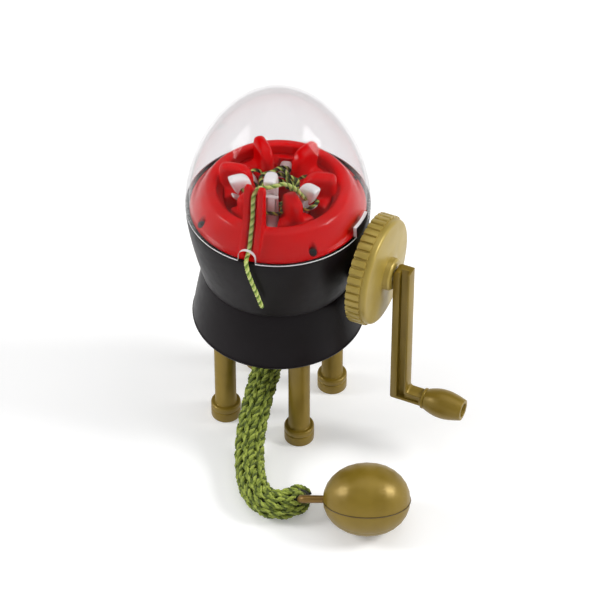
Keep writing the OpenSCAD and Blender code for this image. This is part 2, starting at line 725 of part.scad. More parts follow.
// Outline of the L-shaped crank arm in the X-Z plane
function arm_outline() = let (x0 = arm_x, x1 = arm_x + arm_w, z1 = shaft_z + arm_top,
  z0 = grip_z - stub_h / 2, z2 = grip_z + stub_h / 2)
  concat(arc([x0 + 2.6, z1 - 2.6], 2.6, 180, 90, 6), [[x1, z1], [x1, z2 + 1.5]],
    arc([x1 + 1.5, z2 + 1.5], 1.5, 180, 270, 4), [[stub_end_x, z2], [stub_end_x, z0]],
    arc([x0 + 1, z0 + 1], 1, 270, 180, 4));

// Crank arm: an L-shaped bar with a broad rib, and a channel in its front that is open at the top
module crank_arm() {
  channel_x = arm_x + arm_rib;
  channel_z = grip_z - stub_h / 2 + stub_rib;
  color(gold) difference() {
    radial_plate(arm_outline(), arm_t);
    translate([channel_x, -arm_t / 2 - 1, channel_z])
      cube([arm_w - arm_rib - arm_lip, arm_sink + 1, crank_l + arm_top + stub_h]);
    translate([channel_x + 1, -arm_t / 2 - 1, channel_z])
      cube([stub_end_x - channel_x - 2, stub_sink + 1, stub_h - stub_rib - arm_lip]);
    translate([arm_x - 1, 0, shaft_z]) along_x() cylinder(h = end_pin_l + 1 + fit, r = pin_r + fit);
    translate([stub_end_x - grip_pin_in - 2 * fit, 0, grip_z]) along_x()
      cylinder(h = grip_pin_in + 1, r = pin_r + fit);
  }
}

// Shoulder screw that carries the grip, with its head in the grip's outer end
module grip_pin() {
  head_x = grip_x + grip_l - pin_recess + 0.3;
  color(steel) translate([0, 0, grip_z]) along_x() {
    translate([0, 0, stub_end_x - grip_pin_in])
      cylinder(h = head_x - stub_end_x + grip_pin_in + 0.2, r = pin_r);
    difference() {
      translate([0, 0, head_x]) cylinder(h = pin_head_t, r = pin_head_r);
      translate([-pin_head_r, -0.4, head_x + pin_head_t - 0.8]) cube([2 * pin_head_r, 0.8, 2]);
    }
  }
}

module crank_grip() {
  n = 10;
  end_r = 5.2;
  barrel = [for (i = [0 : n]) [end_r + (grip_r - end_r) * sin(180 * pow(i / n, 0.9)),
    1.8 + (grip_l - 1.8) * i / n]];
  profile = concat([[pin_r + run, 0], [end_r - 0.3, 0], [end_r, 0.3], [end_r, 1.2],
    [end_r - 0.5, 1.5]], barrel,
    [[pin_head_r + 0.5, grip_l], [pin_head_r + 0.5, grip_l - pin_recess],
      [pin_r + run, grip_l - pin_recess]]);
  color(gold) translate([grip_x, 0, grip_z]) along_x() rotate_extrude() polygon(profile);
}

// Route of the knitted cord: down through the outlet, forward between the front legs, and along the floor
cord_path = [[0, 0, 84], [0, 0, 72], [1.1, -0.5, 62], [0.5, -3.3, 53], [0.7, -9.2, 44],
  [1, -17.1, 35.5], [1.3, -26, 27.5], [2.4, -34.9, 19.5], [4.4, -43.9, 12.5], [8.4, -52.9, 8.6],
  [13.4, -61.9, 7.8], [19.4, -69.4, 7.8], [27.4, -73.9, 7.8], [35.2, -72, 7.8], [41.1, -65.1, 8.2],
  [44.5, -60.1, 8.4]];
// Route of the yarn as [from the axis, sideways, height] at the guide's angle: guide fork, channel,
// notch, cut end
yarn_path = [[28, 0, 162.4], [31, 0, 162.4], [33.2, 0, 161.2], [33.9, 0, 157], [34.7, 0, 150],
  [36.5, 0, 144], [38.3, 0, 138],
  [39.8, 0, 134.8], [41.6, 0, 133], [44, 0.2, 132.2], [45.7, 0.8, 130], [46, 2, 125], [45.2, 3.8, 118],
    [44, 5.6, 110.5], [42.8, 7.2, 103]];

// Unit vector along v
function unit(v) = v / norm(v);
// Direction of a route at point i
function route_dir(p, i) = unit(p[min(i + 1, len(p) - 1)] - p[max(i - 1, 0)]);

// Round tube with flat ends, swept along a route
module tube(p, r, sides) {
  ref = [0.36, 0.93, 0.11];
  rings = [for (i = [0 : len(p) - 1]) let (d = route_dir(p, i), u = unit(cross(d, ref)), v = cross(d, u))
    for (j = [0 : sides - 1]) let (a = 360 * j / sides) p[i] + r * (cos(a) * u + sin(a) * v)];
  last = (len(p) - 1) * sides;
  walls = [for (i = [0 : len(p) - 2]) for (j = [0 : sides - 1]) let (k = (j + 1) % sides,
    b = i * sides, c = b + sides)
    each [[b + j, c + j, c + k], [b + j, c + k, b + k]]];
  caps = [for (j = [1 : sides - 2]) each [[0, j, j + 1], [last, last + j + 1, last + j]]];
  polyhedron(points = rings, faces = concat(walls, caps));
}

module i_cord() {
  color(green) tube(cord_path, cord_r, 12);
}

module yarn_tail() {
  color(green) rotate(guide_a) tube(yarn_path, yarn_r, 8);
}

// Radius of the egg at a share t of its length, counted from the hook's end
function egg_at(r, t) = r * pow(max(0, 1 - pow(abs(2 * t - 1), 2.1)), 0.5) * (0.985 + 0.03 * t);

// Half of the egg's wall, cut through its long axis
module egg_half() {
  n = 14;
  steps = [for (i = [0 : n]) (1 - cos(180 * i / n)) / 2];
  outer = [for (t = steps) [egg_at(egg_r, t), egg_l * (t - 0.5)]];
  inner = [for (i = [n : -1 : 0]) let (t = steps[i]) [egg_at(egg_r - egg_wall, t),
    (egg_l - 2 * egg_wall) * (t - 0.5)]];
  difference() {
    rotate_extrude(angle = 180) polygon(concat(outer, inner));
    translate([0, 0, -egg_l]) cylinder(h = egg_l, r = hook_r + fit);
  }
}

// Places a piece of the weight: its long axis along local z, its upper half towards local y
module egg_place() {
  translate(egg_pos) rotate(egg_turn) rotate([egg_roll, 0, 0]) rotate([0, 90, 0]) rotate(90) children();
}

module egg_upper() {
  color(gold) egg_place() mirror([0, 1, 0]) egg_half();
}
module egg_lower() {
  color(gold) egg_place() egg_half();
}

module egg_ballast() {
  color(steel) egg_place() translate([0, 0, -ballast_l / 2]) cylinder(h = ballast_l, r = ballast_r);
}

// Hook: a stem out of the egg's end, bent into an open eye that takes the cord's end
module egg_hook() {
  stem_z = -egg_l / 2 - hook_l;
  color(gold) egg_place() rotate(hook_turn) {
    translate([0, 0, stem_z]) cylinder(h = hook_l + 5.6, r = hook_r);
    translate([hook_bend_r, 0, stem_z]) rotate([90, 0, 0]) rotate(180)
      rotate_extrude(angle = 200) translate([hook_bend_r, 0]) circle(r = hook_r);
  }
}

body_shell();
base_skirt();
base_plate();
leg_front_left();
leg_front_right();
leg_back_left();
leg_back_right();
leg_screws();
plate_screws();
body_screws();
lower_bush();
shaft_bush();
cam_ring();
needle_cover();
cover_screws();
dome();
needle_carrier();
crown_gear();
gear_screws();
needle_1();
needle_2();
needle_3();
needle_4();
needle_5();
needle_6();
latch_1();
latch_2();
latch_3();
latch_4();
latch_5();
latch_6();
drive_wheel();
crank_shaft();
drive_pinion();
crank_arm();
grip_pin();
crank_grip();
i_cord();
yarn_tail();
egg_upper();
egg_lower();
egg_ballast();
egg_hook();
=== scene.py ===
"""Looks of the hand-cranked i-cord knitting machine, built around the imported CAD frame.

Shapes are written in millimetres and turned into metres where a mesh is made.
"""
import math

import bmesh
import bpy
import numpy as np
from mathutils import Matrix, Vector


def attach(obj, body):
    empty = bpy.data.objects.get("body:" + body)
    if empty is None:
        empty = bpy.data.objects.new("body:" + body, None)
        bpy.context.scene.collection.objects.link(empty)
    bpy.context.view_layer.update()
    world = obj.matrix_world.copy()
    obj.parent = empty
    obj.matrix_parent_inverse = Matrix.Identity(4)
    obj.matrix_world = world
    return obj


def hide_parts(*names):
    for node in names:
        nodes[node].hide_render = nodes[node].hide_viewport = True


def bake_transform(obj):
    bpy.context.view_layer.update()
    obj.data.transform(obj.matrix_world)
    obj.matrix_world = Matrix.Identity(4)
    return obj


MM = 0.001
RIM_Z = 130.0
RIM_R = 44.0
GUIDE_A = 275.0
NEEDLE_A0 = 45.0
NEEDLE_STEP = 60.0
NEEDLES = 6

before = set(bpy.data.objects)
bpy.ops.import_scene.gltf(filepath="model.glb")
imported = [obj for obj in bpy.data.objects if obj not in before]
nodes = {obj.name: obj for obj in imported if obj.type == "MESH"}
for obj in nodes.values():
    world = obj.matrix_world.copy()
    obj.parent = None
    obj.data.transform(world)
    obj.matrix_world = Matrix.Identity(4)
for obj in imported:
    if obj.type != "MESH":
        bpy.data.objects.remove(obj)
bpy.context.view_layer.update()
scene = bpy.context.scene
scene.view_settings.view_transform = "Standard"


def place_object(name, data):
    """Puts a mesh, lamp or camera into the scene as an object."""
    obj = bpy.data.objects.new(name, data)
    scene.collection.objects.link(obj)
    return obj


def aim(obj, direction):
    """Turns a camera or lamp to look in a direction."""
    obj.rotation_mode = "QUATERNION"
    obj.rotation_quaternion = direction.to_track_quat("-Z", "Y")


# Camera at the photograph's viewing angle
AZIMUTH = math.radians(24.42)
ELEVATION = math.radians(43.23)
DISTANCE = 1.527
LENS = 188.2
SENSOR = 36.0
TARGET_RIGHT = 0.01036
TARGET_UP = 0.06757

right = Vector((math.cos(AZIMUTH), math.sin(AZIMUTH), 0))
level = math.cos(ELEVATION)
back = Vector((math.sin(AZIMUTH) * level, -math.cos(AZIMUTH) * level, math.sin(ELEVATION)))
target = right * TARGET_RIGHT + Vector((0, 0, TARGET_UP))
cam_data = bpy.data.cameras.new("camera")
cam_data.lens = LENS
cam_data.sensor_width = SENSOR
cam_data.clip_start = 0.05
cam_data.clip_end = 50.0
camera = place_object("camera", cam_data)
camera.location = target + back * DISTANCE
aim(camera, -back)
scene.camera = camera


# Materials
def empty_tree(owner, output):
    """The cleared node tree of a material or world, and its new output node."""
    owner.use_nodes = True
    tree = owner.node_tree
    tree.nodes.clear()
    return tree, tree.nodes.new(output)


def new_material(name):
    """A material with its tree, its output node and a Principled shader that isn't linked yet."""
    mat = bpy.data.materials.new(name)
    tree, out = empty_tree(mat, "ShaderNodeOutputMaterial")
    return mat, tree, out, tree.nodes.new("ShaderNodeBsdfPrincipled")


def math_node(tree, operation, first, second=None, third=None):
    """A Math node. Each of its inputs is a socket to link or a plain number."""
    node = tree.nodes.new("ShaderNodeMath")
    node.operation = operation
    for i, value in enumerate((first, second, third)):
        if isinstance(value, bpy.types.NodeSocket):
            tree.links.new(value, node.inputs[i])
        elif value is not None:
            node.inputs[i].default_value = value
    return node.outputs[0]


def map_range(tree, value, start, end, low, high):
    """Maps a socket's values from one range to another."""
    node = tree.nodes.new("ShaderNodeMapRange")
    node.inputs["From Min"].default_value = start
    node.inputs["From Max"].default_value = end
    node.inputs["To Min"].default_value = low
    node.inputs["To Max"].default_value = high
    tree.links.new(value, node.inputs["Value"])
    return node.outputs["Result"]


def noise(tree, scale, detail=3.0, rough=0.5):
    """A noise texture in object space. The scale counts features per metre."""
    coord = tree.nodes.new("ShaderNodeTexCoord")
    tex = tree.nodes.new("ShaderNodeTexNoise")
    tex.inputs["Scale"].default_value = scale
    tex.inputs["Detail"].default_value = detail
    tex.inputs["Roughness"].default_value = rough
    tree.links.new(coord.outputs["Object"], tex.inputs["Vector"])
    return tex.outputs["Fac"]


def ramp(tree, value, low, high, start=0.35, end=0.65):
    """Runs from one colour to another over a texture's middle values."""
    node = tree.nodes.new("ShaderNodeValToRGB")
    first, last = node.color_ramp.elements
    first.position = start
    first.color = (*low, 1)
    last.position = end
    last.color = (*high, 1)
    tree.links.new(value, node.inputs["Fac"])
    return node.outputs["Color"]


def bump(tree, shader, value, strength, depth):
    """Roughens a shader's surface by a texture."""
    node = tree.nodes.new("ShaderNodeBump")
    node.inputs["Strength"].default_value = strength
    node.inputs["Distance"].default_value = depth
    tree.links.new(value, node.inputs["Height"])
    tree.links.new(node.outputs["Normal"], shader.inputs["Normal"])


COAT_ROUGHNESS = 0.08
DRIFT_SCALE = 60
PATCH_SCALE = 240


def moulded(name, low, high, rough, metallic=0.0, coat=0.0, grain=2600, grain_depth=0.00002, specular=0.5):
    """Moulded plastic: a slow drift of colour, a patchy gloss and a fine grain."""
    mat, tree, out, shader = new_material(name)
    tree.links.new(shader.outputs["BSDF"], out.inputs["Surface"])
    drift = ramp(tree, noise(tree, DRIFT_SCALE, 2), low, high)
    tree.links.new(drift, shader.inputs["Base Color"])
    patch = map_range(tree, noise(tree, PATCH_SCALE, 4), 0.3, 0.7, *rough)
    tree.links.new(patch, shader.inputs["Roughness"])
    bump(tree, shader, noise(tree, grain, 3), 0.35, grain_depth)
    shader.inputs["Metallic"].default_value = metallic
    shader.inputs["Coat Weight"].default_value = coat
    shader.inputs["Coat Roughness"].default_value = COAT_ROUGHNESS
    shader.inputs["Specular IOR Level"].default_value = specular
    return mat


def yarn(name, low, high):
    """Plied cotton yarn: short streaks of lighter and darker fibre, and a soft sheen."""
    mat, tree, out, shader = new_material(name)
    tree.links.new(shader.outputs["BSDF"], out.inputs["Surface"])
    fibre = ramp(tree, noise(tree, 1500, 5, 0.7), low, high, 0.3, 0.7)
    tree.links.new(fibre, shader.inputs["Base Color"])
    bump(tree, shader, noise(tree, 5200, 3, 0.7), 0.6, 0.00012)
    shader.inputs["Roughness"].default_value = 0.72
    shader.inputs["Sheen Weight"].default_value = 0.1
    shader.inputs["Sheen Roughness"].default_value = 0.4
    return mat


FILM_COLOUR = (0.92, 0.913, 0.917, 1)
GLOSS_COLOUR = (0.9, 0.9, 0.9, 1)
GLOSS_FACING = 0.0065
GLOSS_GRAZING = 0.75
GLOSS_POWER = 5.0


def clear_plastic(name):
    """Clear plastic that doesn't bend light: a gloss that grows to the edge, over a pale film."""
    mat, tree, out, gloss = new_material(name)
    gloss.inputs["Base Color"].default_value = GLOSS_COLOUR
    gloss.inputs["Metallic"].default_value = 1.0
    gloss.inputs["Roughness"].default_value = 0.06
    through = tree.nodes.new("ShaderNodeBsdfTransparent")
    through.inputs["Color"].default_value = FILM_COLOUR
    facing = tree.nodes.new("ShaderNodeLayerWeight")
    facing.inputs["Blend"].default_value = 0.5
    rise = math_node(tree, "POWER", facing.outputs["Facing"], GLOSS_POWER)
    mix = tree.nodes.new("ShaderNodeMixShader")
    tree.links.new(map_range(tree, rise, 0.0, 1.0, GLOSS_FACING, GLOSS_GRAZING), mix.inputs["Fac"])
    tree.links.new(through.outputs["BSDF"], mix.inputs[1])
    tree.links.new(gloss.outputs["BSDF"], mix.inputs[2])
    tree.links.new(mix.outputs["Shader"], out.inputs["Surface"])
    return mat


black = moulded("black_satin", (0.0056, 0.0036, 0.0046), (0.0074, 0.0052, 0.0064), (0.36, 0.44),
                grain=3200, specular=0.11)
gold = moulded("gold_pearl", (0.21, 0.135, 0.009), (0.25, 0.165, 0.014), (0.34, 0.42),
               metallic=0.3, grain=4200)
# A paler copy of the gold for the drive wheel: painted light on its lit face.
wheel_gold_lit = moulded("gold_wheel_lit", (0.35, 0.25, 0.045), (0.41, 0.3, 0.06), (0.32, 0.4),
                     metallic=0.3, grain=4200)
# Near-black gold: painted shade for the groove of the egg's parting line.
seam_painted_shade = moulded("gold_seam_painted_shade", (0.05, 0.03, 0.004), (0.07, 0.042, 0.006), (0.5, 0.6))
bronze = moulded("bronze_hook", (0.15, 0.075, 0.012), (0.24, 0.14, 0.03), (0.3, 0.42),
                 metallic=0.5, grain=1400)
red = moulded("red_gloss", (0.68, 0.0005, 0.0015), (0.76, 0.001, 0.002), (0.16, 0.22),
              coat=0.22, grain=900, grain_depth=0.00001, specular=0.06)
white = moulded("white_gloss", (0.9, 0.89, 0.88), (0.95, 0.94, 0.93), (0.22, 0.3),
                coat=0.25, grain=1600)
steel = moulded("steel_plain", (0.42, 0.42, 0.44), (0.52, 0.52, 0.54), (0.25, 0.38),
                metallic=1.0, grain=5200)
dark_steel = moulded("steel_black", (0.012, 0.008, 0.008), (0.02, 0.014, 0.014), (0.35, 0.45),
                     grain=5200, specular=0.2)
bush = moulded("bush_grey", (0.3, 0.29, 0.27), (0.36, 0.35, 0.33), (0.4, 0.5), grain=3000)
cut_edge = moulded("clear_edge", (0.86, 0.83, 0.84), (0.9, 0.87, 0.88), (0.3, 0.4))
clear = clear_plastic("clear_dome")

# One tone for each of a yarn's plies: lit, half-lit and shaded copies of one yarn, painted highlight and
# painted shade for the twist; the cord's last one is for its core, painted near black as shade
CORD_LIT_SHADED_TONES = [yarn("cord_lit_ply", (0.235, 0.295, 0.026), (0.45, 0.52, 0.095)),
              yarn("cord_half_lit_ply", (0.15, 0.195, 0.014), (0.28, 0.345, 0.044)),
              yarn("cord_shaded_ply", (0.05, 0.074, 0.005), (0.11, 0.148, 0.012)),
              yarn("cord_core_painted_shade", (0.003, 0.005, 0.001), (0.008, 0.013, 0.002))]
CORE_SHADE_TONE = 3
TAIL_LIT_SHADED_TONES = [yarn("tail_lit_ply", (0.55, 0.62, 0.17), (0.78, 0.82, 0.34)),
              yarn("tail_half_lit_ply", (0.4, 0.5, 0.08), (0.6, 0.68, 0.18)),
              yarn("tail_shaded_ply", (0.1, 0.2, 0.015), (0.22, 0.34, 0.04))]
# Loops and courses down between the lobes take the tail's mid ply with the cord's shaded and core tones:
# painted shade on the same yarn as the tail.
LOOP_SHADED_TONES = [TAIL_LIT_SHADED_TONES[1], CORD_LIT_SHADED_TONES[2], CORD_LIT_SHADED_TONES[3]]


# Mesh helpers
def turned(points, angle):
    """Points given as outward, sideways and up, turned about the middle axis to an angle in degrees."""
    c = math.cos(math.radians(angle))
    s = math.sin(math.radians(angle))
    return [[x * c - y * s, x * s + y * c, z] for x, y, z in points]


def polar(r, angle, z):
    """The point at a radius, an angle in degrees and a height."""
    return turned([(r, 0, z)], angle)[0]


def metres(point):
    return [x * MM for x in point]


def lengths_along(line):
    """The distance from a line's start to each of its points."""
    steps = np.linalg.norm(np.diff(line, axis=0), axis=1)
    return np.concatenate([[0], np.cumsum(steps)])


def sampled(marks, along, values):
    """Rows of values, read at marks along a line."""
    return np.stack([np.interp(marks, along, values[:, k]) for k in range(3)], 1)


CURVE_PARTS = 24


def smooth_line(points, step):
    """A smooth curve through points, with marks a step apart along it."""
    p = np.asarray(points, float)
    p = np.vstack([2 * p[0] - p[1], p, 2 * p[-1] - p[-2]])
    curve = []
    for i in range(1, len(p) - 2):
        for t in np.linspace(0, 1, CURVE_PARTS, endpoint=False):
            a = 2 * p[i]
            b = (p[i + 1] - p[i - 1]) * t
            c = (2 * p[i - 1] - 5 * p[i] + 4 * p[i + 1] - p[i + 2]) * t * t
            d = (3 * p[i] - p[i - 1] - 3 * p[i + 1] + p[i + 2]) * t ** 3
            curve.append(0.5 * (a + b + c + d))
    curve.append(p[-2])
    curve = np.array(curve)
    along = lengths_along(curve)
    count = max(2, int(round(along[-1] / step)) + 1)
    return sampled(np.linspace(0, along[-1], count), along, curve)


def sides_of(line):
    """Two directions across a line at each of its points, which turn as little as possible along it."""
    along = np.gradient(line, axis=0)
    along /= np.linalg.norm(along, axis=1)[:, None]
    first = np.cross(along[0], [0.36, 0.93, 0.11])
    across = [first / np.linalg.norm(first)]
    for i in range(1, len(line)):
        v = across[-1] - along[i] * np.dot(across[-1], along[i])
        across.append(v / np.linalg.norm(v))
    across = np.array(across)
    return across, np.cross(along, across)


def round_about(u, v, angle):
    """Unit vectors at an angle between two directions, row by row."""
    return u * np.cos(angle)[:, None] + v * np.sin(angle)[:, None]


def tube(line, radius, sides):
    """Points and faces of a closed tube along a line. The radius is one number or one for each mark."""
    u, v = sides_of(line)
    radius = np.broadcast_to(radius, len(line))
    angles = 2 * np.pi * np.arange(sides) / sides
    spokes = u[:, None] * np.cos(angles)[None, :, None] + v[:, None] * np.sin(angles)[None, :, None]
    rings = line[:, None] + radius[:, None, None] * spokes
    verts = np.vstack([rings.reshape(-1, 3), line[:1], line[-1:]])
    first_end = len(verts) - 2
    last_end = len(verts) - 1
    last = (len(line) - 1) * sides
    faces = []
    for i in range(len(line) - 1):
        a = i * sides
        b = a + sides
        for j in range(sides):
            k = (j + 1) % sides
            faces.append((a + j, a + k, b + k, b + j))
    for j in range(sides):
        k = (j + 1) % sides
        faces.append((first_end, k, j))
        faces.append((last_end, last + j, last + k))
    return verts, faces


PLIES = 3
PLY_SHIFT = 0.5
PLY_R = 0.52


def plied(line, radius, pitch, sides=6):
    """Points, faces and ply numbers of a yarn of twisted plies along a line."""
    u, v = sides_of(line)
    radius = np.broadcast_to(radius, len(line)).astype(float)
    length = lengths_along(line)
    verts, faces, marks, base = [], [], [], 0
    for k in range(PLIES):
        twist = 2 * np.pi * (length / pitch + k / PLIES)
        centre = line + (radius * PLY_SHIFT)[:, None] * round_about(u, v, twist)
        ply_verts, ply_faces = tube(centre, radius * PLY_R, sides)
        verts.append(ply_verts)
        faces += [tuple(x + base for x in f) for f in ply_faces]
        marks += [k] * len(ply_faces)
        base += len(ply_verts)
    return np.vstack(verts), faces, marks


def faces_object(name, verts, faces, mats, body, indices=None):
    """An object from points and faces, on its body and in its material slot."""
    mesh = bpy.data.meshes.new(name)
    mesh.from_pydata((np.asarray(verts) * MM).tolist(), [], faces)
    for mat in mats:
        mesh.materials.append(mat)
    if indices is not None:
        mesh.polygons.foreach_set("material_index", np.asarray(indices, np.int32))
    mesh.shade_smooth()
    mesh.update()
    obj = place_object(name, mesh)
    if body:
        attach(obj, body)
    return obj


def bmesh_object(name, bm):
    """An object from a bmesh, with its faces turned outwards."""
    bmesh.ops.recalc_face_normals(bm, faces=bm.faces)
    mesh = bpy.data.meshes.new(name)
    bm.to_mesh(mesh)
    bm.free()
    return place_object(name, mesh)


# The knitted cord: six columns of loops, worked in a spiral along the route
CORD_ROUTE = [[0, 0, 84], [0, 0, 72], [1.1, -0.5, 62], [0.5, -3.3, 53], [0.7, -9.2, 44], [1, -17.1, 35.5],
              [1.3, -26, 27.5], [2.4, -34.9, 19.5], [4.4, -43.9, 12.5], [8.4, -52.9, 8.6],
              [13.4, -61.9, 7.8], [19.4, -69.4, 7.8], [27.4, -73.9, 7.8], [35.2, -72, 7.8],
              [41.1, -65.1, 8.2], [44.5, -60.1, 8.4]]
COLUMNS = 6
ROW = 6.4
LOOP_H = 6.0
LOOP_R = 5.0
LOOP_OUT = 1.4
LOOP_LEAN = 0.26
LOOP_MARKS = 26
KNIT_R = 1.32
KNIT_PITCH = 6.0
CORE_R = 4.7
CORE_SIDES = 20
CORE_SHORT = 1.5
CORD_END = 6.0


def knitted_cord():
    """The cord from the carrier's bore to the egg's hook: one plied yarn in loops, in painted lit and shaded
    ply tones, over a core painted near black as the shade between the loops.
    """
    line = smooth_line(CORD_ROUTE, 0.5)
    u, v = sides_of(line)
    length = lengths_along(line)
    total = length[-1]
    width = 2 * np.pi / COLUMNS
    rows = (total - 2 * LOOP_H) / ROW
    turns = np.arange(0, rows * COLUMNS * 2 * np.pi, 2 * np.pi / LOOP_MARKS)
    angle = turns * width / (2 * np.pi) + LOOP_LEAN * width * np.sin(2 * turns)
    place = LOOP_H + turns / (2 * np.pi) / COLUMNS * ROW - LOOP_H * np.cos(turns)
    place = np.clip(place, 0, total)
    past = np.clip(place - (total - CORD_END), 0, None) / CORD_END
    draw = np.sqrt(np.clip(1 - past ** 2, 0.12, 1))
    out = (LOOP_R - LOOP_OUT * np.cos(2 * turns)) * draw
    spokes = round_about(sampled(place, length, u), sampled(place, length, v), angle)
    yarn_line = sampled(place, length, line) + spokes * out[:, None]
    verts, faces, marks = plied(yarn_line, KNIT_R, KNIT_PITCH)

    # The core is a tube painted near black: painted shade in the gaps between the stitches.
    core_past = np.clip(length - total + CORD_END + CORE_SHORT, 0, None) / CORD_END
    core_r = CORE_R * np.sqrt(np.clip(1 - core_past ** 2, 0.02, 1))
    core_verts, core_faces = tube(line, core_r, CORE_SIDES)
    marks += [CORE_SHADE_TONE] * len(core_faces)
    faces += [tuple(x + len(verts) for x in f) for f in core_faces]
    verts = np.vstack([verts, core_verts])
    obj = faces_object("knitted_cord", verts, faces, CORD_LIT_SHADED_TONES, "frame", marks)
    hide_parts("i_cord")


knitted_cord()

# The yarn's tail: from the guide hole down the channel, out of the notch to its cut end.
# Its points are outward, sideways and up at the guide's angle.
TAIL_ROUTE = [[28, 0, 162.4], [31, 0, 162.4], [33.2, 0, 161.2], [33.9, 0, 157], [34.7, 0, 150],
              [36.5, 0, 144], [38.3, 0, 138], [39.8, 0, 134.8], [41.6, 0, 133], [44, 0.2, 132.2],
              [45.7, 0.8, 130], [46, 2, 125], [45.2, 3.8, 118], [44, 5.6, 110.5], [42.8, 7.2, 103]]
TAIL_END = (0.95, 0.85, 0.7)
YARN_R = 1.05
YARN_PITCH = 4.0


def yarn_tail():
    """The loose end of the yarn, thinner at its cut."""
    line = smooth_line(turned(TAIL_ROUTE, GUIDE_A), 0.45)
    thick = np.full(len(line), YARN_R)
    thick[-len(TAIL_END):] *= TAIL_END
    verts, faces, marks = plied(line, thick, YARN_PITCH, sides=8)
    obj = faces_object("yarn_strand", verts, faces, TAIL_LIT_SHADED_TONES, "frame", marks)
    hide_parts("yarn_tail")


yarn_tail()


# Working yarn and the loops on the needles
def strand(name, points, body, radius, tones):
    """A plied yarn through points."""
    verts, faces, marks = plied(smooth_line(points, 0.5), radius, YARN_PITCH)
    return faces_object(name, verts, faces, tones, body, marks)


# Radius, angle and height of the points from the guide to needle 6
WORK_ROUTE = [(28.6, 275, 162.4), (27.2, 276.5, 162.5), (26, 280, 162.3), (25.5, 285, 162.2),
              (24.4, 292, 162.4), (22.2, 301, 161.6), (20.4, 310, 158.6), (19.6, 319, 155),
              (19.6, 327, 150.8), (19.4, 333, 147), (19, 339, 145.3), (18.7, 345, 145),
              (18.6, 351, 144.4), (18.2, 356.5, 142.4)]
work = strand("working_yarn", [polar(*p) for p in WORK_ROUTE], None, YARN_R, TAIL_LIT_SHADED_TONES)
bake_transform(work)

LOOP_YARN_R = 0.9


def needle_loop(k, hook_z, reach, low_z, caught=False):
    """A loop round needle k, whose legs run down to the middle. A caught loop is baked in place on no body;
    the others go on the carrier.
    """
    name = "loop_%d" % k
    angle = NEEDLE_A0 + NEEDLE_STEP * (k - 1)
    leg = [[7.5, 3.0, low_z - 4], [9.2, 3.4, low_z], [12.5, 3.9, 0.5 * (low_z + hook_z)],
           [reach - 2.4, 4.2, hook_z - 1.2], [reach, 2.4, hook_z]]
    other_leg = [[x, -y, z] for x, y, z in leg]
    local = other_leg + [[reach + 0.3, 0, hook_z + 0.3]] + leg[::-1]
    obj = strand(name, turned(local, angle), None if caught else "carrier", LOOP_YARN_R, LOOP_SHADED_TONES)
    if caught:
        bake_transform(obj)


needle_loop(1, 140.4, 16.0, 137.8, caught=True)
needle_loop(2, 139.0, 15.6, 137.6, caught=True)
needle_loop(3, 140.8, 16.0, 137.8, caught=True)
needle_loop(4, 146.2, 18.4, 137.4)
needle_loop(5, 140.6, 19.0, 137.2)
needle_loop(6, 141.6, 22.0, 137.4)

BACK_A = 114.0
COURSE_R = 0.95
COURSE_MARKS = 48


def centre_ring(name, turn, base_r, wave, z, rise):
    """A slack course of yarn round the mouth of the bore, inside the lobes, that lies higher at the back."""
    points = []
    for i in range(COURSE_MARKS + 1):
        a = turn + 360 * i / COURSE_MARKS
        ripple = math.cos(math.radians(NEEDLES * (a - NEEDLE_A0)))
        lift = rise * (0.5 + 0.5 * math.cos(math.radians(a - BACK_A))) ** 2
        sway = 0.5 * math.sin(math.radians(3 * a + turn))
        points.append(polar(base_r + wave * ripple, a, z + lift + sway))
    strand(name, points, "carrier", COURSE_R, LOOP_SHADED_TONES)


centre_ring("course_1", 10, 9.2, 0.9, 138.0, 5.4)
centre_ring("course_2", 47, 8.4, 0.8, 136.2, 4.6)
centre_ring("course_3", 81, 7.2, 0.5, 134.2, 3.6)
centre_ring("course_4", 120, 9.4, 0.7, 136.4, 3.0)

# The egg's parting line: a fine strip of painted shade round the two halves, standing in for the shadow in
# the groove between them
EGG_POS = (74.0, -60.9, 17.7)
EGG_L = 42.0
EGG_R = 17.7
EGG_TURN = 24.0
EGG_ROLL = -17.0
SEAM_R = 0.24
SEAM_MARKS = 40


def egg_radius(t):
    """The egg's radius at a share of its length."""
    return EGG_R * math.sqrt(max(0.0, 1 - abs(2 * t - 1) ** 2.1)) * (0.985 + 0.03 * t)


def turn_about(axis, degrees):
    """A rotation about one of the main axes."""
    return Matrix.Rotation(math.radians(degrees), 4, axis)


def egg_seam_shadow():
    """The line between the egg's halves, drawn at the roll that the photograph shows."""
    shares = [(1 - math.cos(math.pi * i / SEAM_MARKS)) / 2 for i in range(SEAM_MARKS + 1)]
    side = [(egg_radius(t), EGG_L * (t - 0.5)) for t in shares]
    ring = side[1:] + [(-r, z) for r, z in side[-2::-1]]
    turn = turn_about("Z", EGG_TURN) @ turn_about("X", EGG_ROLL) @ turn_about("Y", 90) @ turn_about("Z", 90)
    points = [list(turn @ Vector((x, 0, z)) + Vector(EGG_POS)) for x, z in ring]
    verts, faces = tube(smooth_line(points, 0.8), SEAM_R, 8)
    faces_object("egg_seam_shadow", verts, faces, [seam_painted_shade], "frame")


egg_seam_shadow()

# The clear dome: a smooth shell with its yarn notch and key notch
DOME_H = 66.0
DOME_WALL = 1.6
DOME_ROWS = 60
DOME_AROUND = 144
EDGE_H = 0.6
NOTCH_W = 8.5
NOTCH_H = 7.0
KEY_W = 13.0
KEY_H = 5.7
KEY_A = 0.0
CUT_IN = 8.0
CUT_DEPTH = 14.0
CUT_BELOW = 2.0
EDGE_REACH = 8.0


def dome_radius(r, t):
    """The radius of a dome of a given rim at a share of its height."""
    return r * max(0.0, 1 - t ** 1.96) ** 0.584


